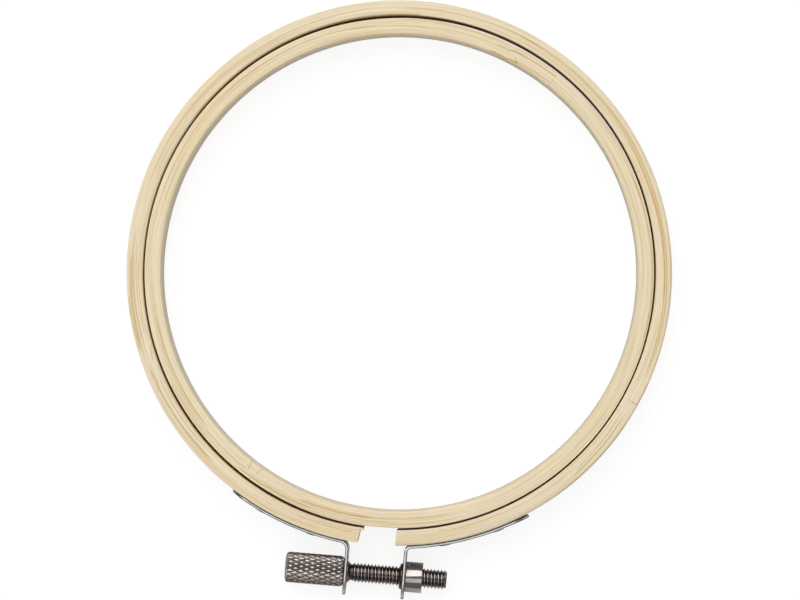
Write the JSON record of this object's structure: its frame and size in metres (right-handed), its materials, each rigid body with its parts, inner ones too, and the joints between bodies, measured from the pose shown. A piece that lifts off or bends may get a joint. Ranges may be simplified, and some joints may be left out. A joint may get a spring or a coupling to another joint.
{
  "type": "embroidery hoop",
  "caption": "Small bamboo embroidery hoop with a loose inner ring and a split outer ring drawn tight by a knurled clamp screw.",
  "frame": {"origin": "centre of the hoop's opening, at mid height of the rings", "axes": "+Z along the hoop's axis, up when it lies flat; the split and the clamp are at -Y; the clamp screw lies along X with its head towards -X"},
  "size_m": [0.1088, 0.1195, 0.0094],
  "materials": {
    "inner_bamboo": "sanded bare bamboo",
    "outer_bamboo": "sanded bare bamboo",
    "strap_steel": "bright nickel plate",
    "tack_steel": "bright nickel plate",
    "screw_nickel": "dark nickel plate, knurled head",
    "nut_nickel": "dark nickel plate, turned"
  },
  "bodies": {
    "hoop": {"outer_ring": "outer_bamboo", "left_strap": "strap_steel", "left_near_tack": "tack_steel", "left_far_tack": "tack_steel"},
    "inner": {"inner_ring": "inner_bamboo"},
    "right_end": {"right_strap": "strap_steel", "right_near_tack": "tack_steel", "right_far_tack": "tack_steel", "clamp_nut": "nut_nickel"},
    "screw": {"clamp_screw": "screw_nickel"}
  },
  "joints": [
    {"name": "inner_ring_lift", "type": "slide", "parent": "hoop", "child": "inner", "axis": [0, 0, 1], "range_m": [0, 0.025]},
    {"name": "screw_turn", "type": "hinge", "parent": "hoop", "child": "screw", "pos_m": [0, -0.0605, 0], "axis": [1, 0, 0], "range_deg": [-2160, 180]},
    {"name": "clamp_close", "type": "slide", "parent": "hoop", "child": "right_end", "axis": [-1, 0, 0], "range_m": [-0.0042, 0.00035], "deforming": ["outer_ring"]}
  ],
  "couplings": [
    {"joint": "screw_turn", "follows": "clamp_close", "rad_per_m": 8976}
  ]
}
